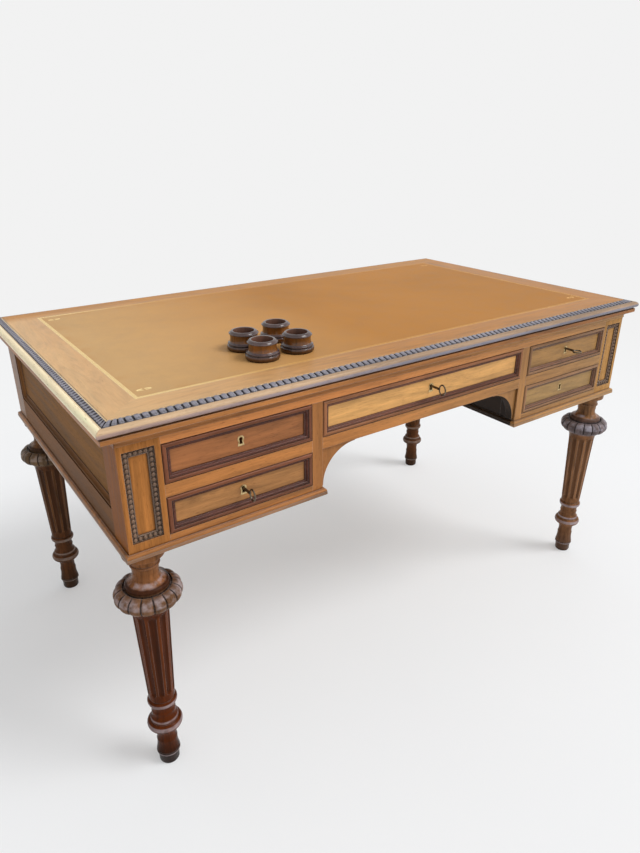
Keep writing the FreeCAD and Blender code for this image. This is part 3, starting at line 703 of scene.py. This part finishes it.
def turned_wood(name, foot, shaft, ridge, ring, collar, neck, pale):
    """Polished turned wood in the tones of a leg's parts from the floor up, with dirt and painted shade in
    the flutes and between the lobes, worn ridges with painted highlight beside the flutes, and pale painted
    highlights on the rings."""
    low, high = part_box("leg_back_right")
    middle = (low + high) / 2

    def dirt_and_painted_light(shader, xyz, tone, colour, lengthwise):
        out_x = shader.math("SUBTRACT", shader.math("ABSOLUTE", xyz[0]), middle.x)
        out_y = shader.math("SUBTRACT", shader.math("ABSOLUTE", xyz[1]), middle.y)
        angle = shader.math("ARCTAN2", out_y, out_x)

        def within(start, end, soft):
            rising = shader.span(xyz[2], start - soft, start)
            return shader.math("MULTIPLY", rising, shader.span(xyz[2], end + soft, end))

        def off_centre(count, shift):
            turn = shader.math("FRACT", shader.math("MULTIPLY_ADD", angle, count / (2 * math.pi), shift))
            return shader.math("ABSOLUTE", shader.math("SUBTRACT", turn, 0.5))

        def among(strips):
            found = 0.0
            for strip in strips:
                found = shader.math("MAXIMUM", found, within(*strip))
            return found

        flute = off_centre(FLUTES, 0.5)
        fluted = within(*FLUTED)
        # Worn ridges with painted highlight beside the flutes
        worn = shader.math("MULTIPLY", shader.span(flute, 0.28, 0.36, 0.0, 0.45), fluted)
        colour = shader.mix(worn, colour, toned(shader, tone, ridge))
        # Dirt and painted shade in the hollows of the flutes
        hollow = shader.math("MULTIPLY", shader.span(flute, 0.34, 0.2, 0.0, 0.4), fluted)
        colour = shader.mix(hollow, colour, shaft[0])
        # Painted highlights: glints on the rings and pale bands round the leg
        cloud = shader.noise(shader.place()[0], GLINT_PATCHES)
        glints = shader.math("MULTIPLY", among(GLINT_HEIGHTS), shader.span(cloud, 0.42, 0.62, 0.0, 0.55))
        highlight_bands = shader.math("MULTIPLY", among([(*band, BAND_FADE) for band in HIGHLIGHT_BANDS]),
                            shader.span(cloud, 0.35, 0.6, 0.2, 0.5))
        colour = shader.mix(shader.math("MAXIMUM", glints, highlight_bands), colour, pale)
        # Dirt and painted shade in the creases between the lobes
        groove = shader.span(off_centre(GADROONS, 0.0), 0.1, 0.03, 0.0, 0.85)
        return shader.mix(shader.math("MULTIPLY", groove, within(*GROOVED)), colour, GRIME_AND_SHADE)

    levels = [("Z", *SHAFT_START, shaft), ("Z", *RING_START, ring), ("Z", *COLLAR_START, collar),
              ("Z", *NECK_START, neck)]
    return wood(name, foot, "Z", seed=50, stretch=6, spread=14, warp=0.8, rough=0.22, shine=0.06,
                edge_wear_and_highlight=0.7, levels=levels, tint=dirt_and_painted_light)


# Copies of one turned wood in painted light: lit for the front right leg, shaded for the front left, and
# between the two for the back legs
turned_shaded = turned_wood(
    "turned_shaded", foot=tones(38, 21, 13, 0.5), shaft=tones(82, 36, 8, 0.45), ridge=tones(112, 58, 24),
    ring=tones(108, 77, 55, 0.45), collar=tones(66, 36, 20), neck=tones(130, 84, 50, 0.45),
    pale=srgb(184, 170, 172))
turned_lit = turned_wood(
    "turned_lit", foot=tones(92, 68, 54, 0.5), shaft=tones(120, 82, 54, 0.45), ridge=tones(168, 122, 84),
    ring=tones(104, 92, 92, 0.45), collar=tones(96, 74, 64), neck=tones(134, 96, 64, 0.45),
    pale=srgb(190, 186, 198))
turned_brown = turned_wood(
    "turned_brown", foot=tones(62, 41, 27, 0.5), shaft=tones(88, 53, 29, 0.45), ridge=tones(122, 82, 48),
    ring=tones(104, 82, 60, 0.45), collar=tones(66, 44, 28), neck=tones(118, 80, 48, 0.45),
    pale=srgb(168, 152, 142))
LEGS = {"leg_front_left": turned_shaded, "leg_front_right": turned_lit,
        "leg_back_left": turned_brown, "leg_back_right": turned_brown}
leg_outline = thinned(polyline(LEG_SHARES, LEG_RADIUS, LEG_HEIGHT, LEG_STEP), FLUTE_ENDS)
for name, material in LEGS.items():
    low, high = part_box(name)
    centre = ((low.x + high.x) / 2, (low.y + high.y) / 2, 0)
    points, faces = lathe(leg_outline, LEG_SEGMENTS, leg_shape, centre)
    piece(f"turned_{name}", points, faces, material, "frame", [name])


# Cups
CUP_RADIUS, CUP_HEIGHT, CUP_INSIDE, CUP_STEP, CUP_SEGMENTS = 0.0335, 0.038, 0.0215, 0.001, 128
CUP_SHARES = (
    (0, 0, 0), (0.96, 0, 0), (1, 0.06, 0.1), (1, 0.24, 0), (0.98, 0.26, 0), (0.92, 0.28, 0),
    (0.92, 0.3, 0.45), (0.92, 0.4, 0), (0.87, 0.43, 0), (0.84, 0.46, -0.06), (0.84, 0.83, 0),
    (0.88, 0.85, 0.3), (0.88, 0.9, 0), (0.85, 0.91, 0.05), (0.74, 1, 0), (0.64, 1, 0), (0.623, 0.98, 0),
    (0.623, 0.474, 0), (0, 0.474, 0),
)
CUP_SOFT = 0.0006
CUP_LEVELS = [("Z", 0.7795, CUP_SOFT, tones(80, 62, 62)), ("Z", 0.787, CUP_SOFT, tones(114, 70, 28, 0.5)),
              ("Z", 0.8015, CUP_SOFT, tones(78, 60, 58))]
cup = wood("cup", tones(82, 50, 26), "Z", seed=60, stretch=5, spread=16, warp=0.8, rough=0.16, shine=0.5,
           edge_wear_and_highlight=0.9, levels=CUP_LEVELS)
lining = wood("cup_lining", tones(98, 66, 52), "Z", seed=61)
cup_outline = thinned(polyline(CUP_SHARES, CUP_RADIUS, CUP_HEIGHT, CUP_STEP))
for number in range(1, 5):
    node = f"riser_{number}"
    low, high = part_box(node)
    centre = ((low.x + high.x) / 2, (low.y + high.y) / 2, low.z)
    points, faces = lathe(cup_outline, CUP_SEGMENTS, lambda r, z, angle: (r, z), centre)
    made = piece(f"turned_cup_{number}", points, faces, cup, node, [node])
    made.data.materials.append(lining)
    for polygon in made.data.polygons:
        off = math.hypot(polygon.center.x - centre[0], polygon.center.y - centre[1])
        if off < CUP_INSIDE and polygon.center.z > low.z + CUP_HEIGHT / 3:
            polygon.material_index = 1


# Drawer mouldings
MOULDING_WIDTH, MOULDING_STEP = 0.015, 0.0008
MOULDING_OUTER = {"left": tones(118, 70, 46), "centre": tones(138, 90, 58), "right": tones(136, 100, 70)}
MOULDING_INNER = {"left": tones(88, 46, 32), "centre": tones(106, 62, 44), "right": tones(118, 82, 60)}
MOULDING_SHARES = (
    (0, 0, 0), (0, 0.62, -0.22), (0.46, 0.9, -0.05), (0.5, 0.62, 0), (0.58, 0.6, 0), (0.6, 0.7, -0.12),
    (0.84, 0.32, 0), (0.85, 0.26, 0), (0.96, 0.24, 0), (1, 0.08, 0), (1, 0, 0),
)
for number, name in enumerate(DRAWERS):
    node = f"drawer_moulding_{name}"
    low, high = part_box(node)
    side = name.split("_")[-1]
    moulding = wood(f"moulding_{name}", MOULDING_OUTER[side], plan=plan_of(node, "X", "Z"),
                    seed=30 + number, rough=0.26, shine=0.16,
                    field=(MOULDING_WIDTH / 2, "X", MOULDING_INNER[side]))
    points, faces = wall_frame(low, high, MOULDING_WIDTH, high.y - low.y, MOULDING_SHARES, MOULDING_STEP)
    piece(f"fine_{node}", points, faces, moulding, f"drawer_{name}", [node])


# Pearl beading on the front posts
BEAD_WIDTH, BEAD_HEIGHT, BEAD_STEP, PANEL_WIDTH = 0.012, 0.005, 0.004, 0.0545
BEAD_SHARES = (
    (0, 0, 0), (0, 0.72, 0), (0.1, 0.72, 0), (0.16, 0.3, 0), (0.78, 0.3, 0), (0.82, 0.6, 0),
    (0.94, 0.55, 0), (1, 0.1, 0), (1, 0, 0),
)
PEARL, PEARL_AROUND, PEARL_RINGS = 0.0041, 14, 7
PEARLS_UP, PEARLS_ACROSS = 18, 6
# A pearl reaches past its half round, and its middle lies at these shares of the bead
PEARL_REACH = math.pi * 0.62
PEARL_INSET_SHARE, PEARL_LIFT_SHARE = 0.47, 0.35


def pearl(centre):
    """Points and faces of a round pearl that faces the sitter."""
    points = [(centre[0], centre[1] - PEARL, centre[2])]
    faces = []
    for row in range(1, PEARL_RINGS + 1):
        tilt = PEARL_REACH * row / PEARL_RINGS
        for number in range(PEARL_AROUND):
            turn = 2 * math.pi * number / PEARL_AROUND
            out = PEARL * math.sin(tilt)
            points.append((centre[0] + out * math.cos(turn), centre[1] - PEARL * math.cos(tilt),
                           centre[2] + out * math.sin(turn)))
    for number in range(PEARL_AROUND):
        after = (number + 1) % PEARL_AROUND
        faces.append((0, 1 + number, 1 + after))
        for row in range(PEARL_RINGS - 1):
            a = 1 + row * PEARL_AROUND
            b = a + PEARL_AROUND
            faces.append((a + number, b + number, b + after, a + after))
    faces.append(tuple(range(len(points) - PEARL_AROUND, len(points))))
    return points, faces


def pearl_places(left, right, bottom, top):
    """Where the pearls of one panel lie, at an even pitch on its four sides."""
    places = []
    for number in range(PEARLS_UP):
        z = bottom + (top - bottom) * number / (PEARLS_UP - 1)
        places += [(left, z), (right, z)]
    for number in range(1, PEARLS_ACROSS - 1):
        x = left + (right - left) * number / (PEARLS_ACROSS - 1)
        places += [(x, bottom), (x, top)]
    return places


beading = wood("beading", tones(112, 86, 66), "Z", seed=70, spread=30, rough=0.3, shine=0.4, grime_and_shade=0.4)
low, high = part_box("corner_beads")
inset = BEAD_WIDTH * PEARL_INSET_SHARE
lifted = high.y - BEAD_HEIGHT * PEARL_LIFT_SHARE
points, faces = [], []
for start in (low.x, high.x - PANEL_WIDTH):
    near = Vector((start, low.y, low.z))
    far = Vector((start + PANEL_WIDTH, high.y, high.z))
    join(points, faces, *wall_frame(near, far, BEAD_WIDTH, BEAD_HEIGHT, BEAD_SHARES, BEAD_STEP))
    for x, z in pearl_places(near.x + inset, far.x - inset, near.z + inset, far.z - inset):
        join(points, faces, *pearl((x, lifted, z)))
piece("pearl_beading", points, faces, beading, "frame", ["corner_beads"])


# Carved band round the top
BAND_WIDTH, MITRE_LENGTH = 0.017, 0.04
BAND_OUTER, BAND_INNER, BAND_FLOOR = 0.0021, 0.006, 0.0003
BAND_SAMPLES, BAND_ROWS = 14, 16
# The carved share of the band's width, the pitch of the leaves and half the width of their stems as a
# share of the pitch, along the front and at the ends
CARVED = (((0.0, 0.92), 0.0137, 0.41), ((0.12, 0.84), 0.011, 0.27))
# Shares of the carving's width where the leaves, their stems, veins and darts start or end
LEAF_SHARES, STEM_SHARE, VEIN_SHARE, DART_SHARE = (0.06, 0.95), 0.4, 0.6, 0.3
# The lobe's middle and half length as shares of the width, and half widths as shares of the pitch
LOBE_SHARE, LOBE_LENGTH_SHARE = 0.36, 0.3
LOBE_HALF_SHARE, VEIN_HALF_SHARE, DART_HALF_SHARE = 0.43, 0.07, 0.09
LEAF_CROWN, LEAF_SINK, VEIN_DEPTH, DART_CROWN, GAP_DEPTH = 0.002, 0.0006, 0.001, 0.0026, 0.0034


def leaf(turn, across, stem):
    """Relief of the carved band at a place in its pattern: a row of leaves that end in round lobes
    towards the edge of the top, with deep gaps between their stems and a dart between their lobes."""
    if across < LEAF_SHARES[0] or across > LEAF_SHARES[1]:
        return 0.0
    off = abs(turn)
    half = LOBE_HALF_SHARE * math.sqrt(max(0.0, 1 - ((across - LOBE_SHARE) / LOBE_LENGTH_SHARE) ** 2))
    if across > STEM_SHARE:
        half = max(half, stem)
    if off < half:
        dome = math.sqrt(1 - (off / half) ** 2)
        vein = VEIN_DEPTH * math.exp(-(off / VEIN_HALF_SHARE) ** 2) if across < VEIN_SHARE else 0.0
        return LEAF_CROWN * dome - LEAF_SINK - vein
    dart = max(0.0, 1 - (0.5 - off) / DART_HALF_SHARE) if across < DART_SHARE else 0.0
    return DART_CROWN * dart - GAP_DEPTH


def band_strip(half, inset, quarter_turns, share, places, stem=None):
    """A mitred strip of the band along one edge of the top, over a share of the band's width. places
    are the stations along it with the turn of the pattern. A strip without a stem is plain."""
    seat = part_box("carved_band")[0].z
    bend = half - MITRE_LENGTH
    sections = []
    for s, turn in places:
        section = []
        for row in range(BAND_ROWS + 1):
            across = share[0] + (share[1] - share[0]) * row / BAND_ROWS
            reach = abs(s)
            if reach > bend:
                reach = bend + (reach - bend) * (MITRE_LENGTH - across * BAND_WIDTH) / MITRE_LENGTH
            slope = BAND_OUTER + (BAND_INNER - BAND_OUTER) * across
            relief = leaf(turn, row / BAND_ROWS, stem) if stem else 0.0
            z = max(BAND_FLOOR, slope + relief)
            section.append((math.copysign(reach, s), across * BAND_WIDTH - inset, seat + z))
        outer, inner = section[0], section[-1]
        section.append((inner[0], inner[1], seat))
        section.append((outer[0], outer[1], seat))
        sections.append(section)
    points, faces = loft(sections, False)
    for _ in range(quarter_turns):
        points = [(-y, x, z) for x, y, z in points]
    return points, faces


# The carving's grey-blue tone is a painted reflection on dark wood
carving = wood("carving", tones(134, 131, 141), plan=TOP_PLAN, seed=80, spread=30, rough=0.3, shine=0.4,
               edge_wear_and_highlight=0.9, grime_and_shade=0.75)
# A cream painted highlight at the left, browner towards the right and darker at the back
FILLET_LEVELS = [("X", -0.1, 0.5, tones(180, 140, 98)), ("Y", 0.37, 0.004, tones(112, 74, 42))]
fillet = wood("fillet", tones(236, 208, 164, 0.2), plan=TOP_PLAN, seed=81, grime_and_shade=0.1,
              levels=FILLET_LEVELS)
low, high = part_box("carved_band")
carved_points, carved_faces, plain_points, plain_faces = [], [], [], []
for quarter_turns in range(4):
    half, inset = (high.x, high.y) if quarter_turns % 2 == 0 else (high.y, high.x)
    share, pitch, stem = CARVED[quarter_turns % 2]
    columns = round(2 * half / pitch) * BAND_SAMPLES
    places = [(2 * half * n / columns - half, n / BAND_SAMPLES % 1 - 0.5) for n in range(columns + 1)]
    join(carved_points, carved_faces, *band_strip(half, inset, quarter_turns, share, places, stem))
    places = [(s, 0.0) for s in (-half, MITRE_LENGTH - half, half - MITRE_LENGTH, half)]
    for rest in ((0.0, share[0]), (share[1], 1.0)):
        if rest[1] > rest[0]:
            join(plain_points, plain_faces, *band_strip(half, inset, quarter_turns, rest, places))
piece("carved_leaves", carved_points, carved_faces, carving, "frame", ["carved_band"])
piece("band_fillets", plain_points, plain_faces, fillet, "frame", None)


# Floor and light
BACKDROP = 0.887
FLOOR_REACH, FLOOR_PATCHES = 30.0, 1.5
FLOOR_DARKER, FLOOR_LIGHTER = (0.85, 0.865, 0.882, 1), (0.865, 0.88, 0.897, 1)
# The backdrop's share in the floor rises from this one between two distances from the desk's middle
BACKDROP_START, BACKDROP_FULL, BACKDROP_SHARE = 1.3, 3.2, 0.34
# The sky is brightest in one direction
SKY_DIRECTION, SKY_DIM, SKY_BRIGHT = (0.72, -0.42, 0.55), 0.3, 0.92


def showing(shader):
    """Whether the ray shows the background: the camera's own, or one mirrored or let through."""
    rays = shader.add("LightPath").outputs
    mirrored = shader.math("MAXIMUM", rays["Is Glossy Ray"], rays["Is Transmission Ray"])
    return shader.math("MAXIMUM", rays["Is Camera Ray"], mirrored)


def floor_material():
    """A pale floor that turns into the backdrop further away."""
    shader = Shader("floor")
    place, _ = shader.place()
    tone = shader.noise(place, FLOOR_PATCHES, 3.0)
    colour = shader.ramp(tone, [(0.3, FLOOR_DARKER), (0.7, FLOOR_LIGHTER)])
    near = shader.add("BsdfPrincipled", {"Base Color": colour, "Roughness": 0.9,
                                         "Specular IOR Level": 0.1})
    away = shader.add("Emission", {"Color": (BACKDROP, BACKDROP, BACKDROP, 1)})
    distance = shader.add("VectorMath", {0: place}, operation="LENGTH").outputs["Value"]
    share = shader.span(distance, BACKDROP_START, BACKDROP_FULL, BACKDROP_SHARE, 1.0)
    share = shader.math("MULTIPLY", share, showing(shader))
    blend = shader.add("MixShader", {0: share, 1: near.outputs[0], 2: away.outputs[0]})
    shader.output(blend.outputs[0])
    return shader.material


def studio_sky():
    """A soft sky that lights the desk, and shows as the plain backdrop."""
    world = bpy.data.worlds.new("studio")
    world.use_nodes = True
    sky = Shader("sky", world.node_tree)
    direction = sky.add("TexCoord").outputs["Generated"]
    facing = sky.add("VectorMath", {0: direction, 1: SKY_DIRECTION}, operation="DOT_PRODUCT")
    light = sky.span(facing.outputs["Value"], -0.6, 0.9, SKY_DIM, SKY_BRIGHT)
    strength = sky.add("Mix", {0: showing(sky), 2: light, 3: BACKDROP}, data_type="FLOAT").outputs[0]
    background = sky.add("Background", {"Color": WHITE, "Strength": strength})
    sky.output(background.outputs[0], "OutputWorld")
    return world


def lamp(name, kind, energy, place, target, **settings):
    """A lamp at a place, pointed at a target."""
    data = bpy.data.lights.new(name, kind)
    data.energy = energy
    for key, value in settings.items():
        setattr(data, key, value)
    made = bpy.data.objects.new(name, data)
    made.location = place
    made.rotation_euler = (Vector(target) - Vector(place)).to_track_quat("-Z", "Y").to_euler()
    scene.collection.objects.link(made)


mesh = bpy.data.meshes.new("floor")
corners = [(x * FLOOR_REACH, y * FLOOR_REACH, 0) for x, y in ((-1, -1), (1, -1), (1, 1), (-1, 1))]
mesh.from_pydata(corners, [], [(0, 1, 2, 3)])
mesh.materials.append(floor_material())
floor = bpy.data.objects.new("floor", mesh)
scene.collection.objects.link(floor)
scene.world = studio_sky()
lamp("key", "SUN", energy=1.5, place=(1.6, -1.5, 2.6), target=(0, 0, 0), angle=math.radians(24))
lamp("softbox", "AREA", energy=6, place=(2.6, -1.6, 1.5), target=(0.2, 0, 0.4), shape="RECTANGLE",
     size=0.6, size_y=1.4)


# Camera, fitted to the photo
CAMERA_PLACE, CAMERA_TILT, CAMERA_TURN = (-0.94435, -1.30375, 1.16918), 65.855, -35.186
SENSOR_MM, FOCAL_PIXELS, PHOTO_HEIGHT_PIXELS, CLIP_START = 36, 658.555, 853, 0.05
camera = bpy.data.objects.new("camera", bpy.data.cameras.new("camera"))
camera.location = CAMERA_PLACE
camera.rotation_euler = (math.radians(CAMERA_TILT), 0, math.radians(CAMERA_TURN))
camera.data.sensor_width = SENSOR_MM
camera.data.lens = SENSOR_MM * FOCAL_PIXELS / PHOTO_HEIGHT_PIXELS
camera.data.clip_start = CLIP_START
scene.collection.objects.link(camera)
scene.camera = camera
scene.view_settings.view_transform = "Standard"
